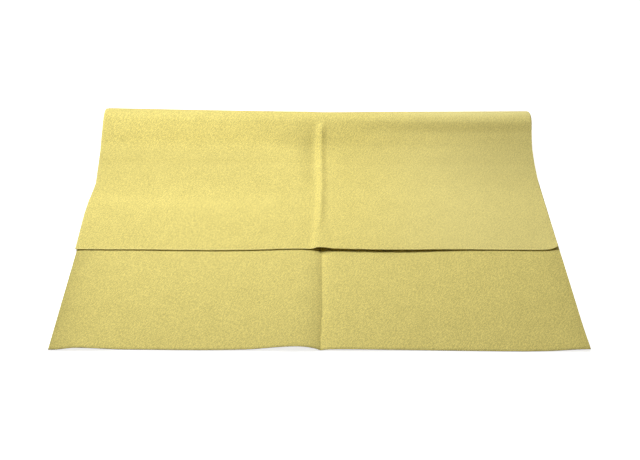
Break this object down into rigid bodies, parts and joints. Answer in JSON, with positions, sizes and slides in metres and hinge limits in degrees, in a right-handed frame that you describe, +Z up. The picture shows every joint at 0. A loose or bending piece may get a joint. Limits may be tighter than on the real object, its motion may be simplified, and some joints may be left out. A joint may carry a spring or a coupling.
{
  "type": "microfibre drying cloth",
  "caption": "Pale yellow suede-finish microfibre drying cloth, folded over a loose roll so that a flap lies on the lower layer and opens to the back.",
  "frame": {"origin": "middle of the width and depth of the folded cloth, on the surface that it lies on", "axes": "+X along the rolled fold to the right as seen from the open front edge, +Y from the open front edge to the rolled fold, +Z up"},
  "size_m": [0.32, 0.2556, 0.024],
  "materials": {
    "microfibre_suede": "matte suede nap, dry"
  },
  "bodies": {
    "lower": {"lower_panel": "microfibre_suede"},
    "roll_1": {"roll_band_1": "microfibre_suede"},
    "roll_2": {"roll_band_2": "microfibre_suede"},
    "roll_3": {"roll_band_3": "microfibre_suede"},
    "slope": {"slope_band": "microfibre_suede"},
    "toe": {"toe_band": "microfibre_suede"},
    "flap": {"flap_panel": "microfibre_suede"}
  },
  "joints": [
    {"name": "flap_unfold", "type": "hinge", "parent": "lower", "child": "flap", "pos_m": [0, 0.12936, 0.01896], "axis": [-1, 0, 0], "range_deg": [0, 191.8]},
    {"name": "roll_bend_1", "type": "hinge", "parent": "lower", "child": "roll_1", "pos_m": [0, 0.12635, 0.00732], "axis": [-1, 0, 0], "range_deg": [0, 31.4]},
    {"name": "roll_bend_2", "type": "hinge", "parent": "roll_1", "child": "roll_2", "pos_m": [0, 0.12665, 0.01593], "axis": [-1, 0, 0], "range_deg": [0, 45.7]},
    {"name": "roll_bend_3", "type": "hinge", "parent": "roll_2", "child": "roll_3", "pos_m": [0, 0.12089, 0.02234], "axis": [-1, 0, 0], "range_deg": [0, 62.9]},
    {"name": "roll_bend_4", "type": "hinge", "parent": "roll_3", "child": "slope", "pos_m": [0, 0.11229, 0.02294], "axis": [-1, 0, 0], "range_deg": [0, 74.7]},
    {"name": "toe_bend", "type": "hinge", "parent": "slope", "child": "toe", "pos_m": [0, 0.07895, 0.00235], "axis": [-1, 0, 0], "range_deg": [-22.6, 0]}
  ],
  "couplings": [
    {"joint": "roll_bend_1", "follows": "flap_unfold", "ratio": 0.16319},
    {"joint": "roll_bend_2", "follows": "flap_unfold", "ratio": 0.23775},
    {"joint": "roll_bend_3", "follows": "flap_unfold", "ratio": 0.32742},
    {"joint": "roll_bend_4", "follows": "flap_unfold", "ratio": 0.38895},
    {"joint": "toe_bend", "follows": "flap_unfold", "ratio": -0.11731}
  ]
}
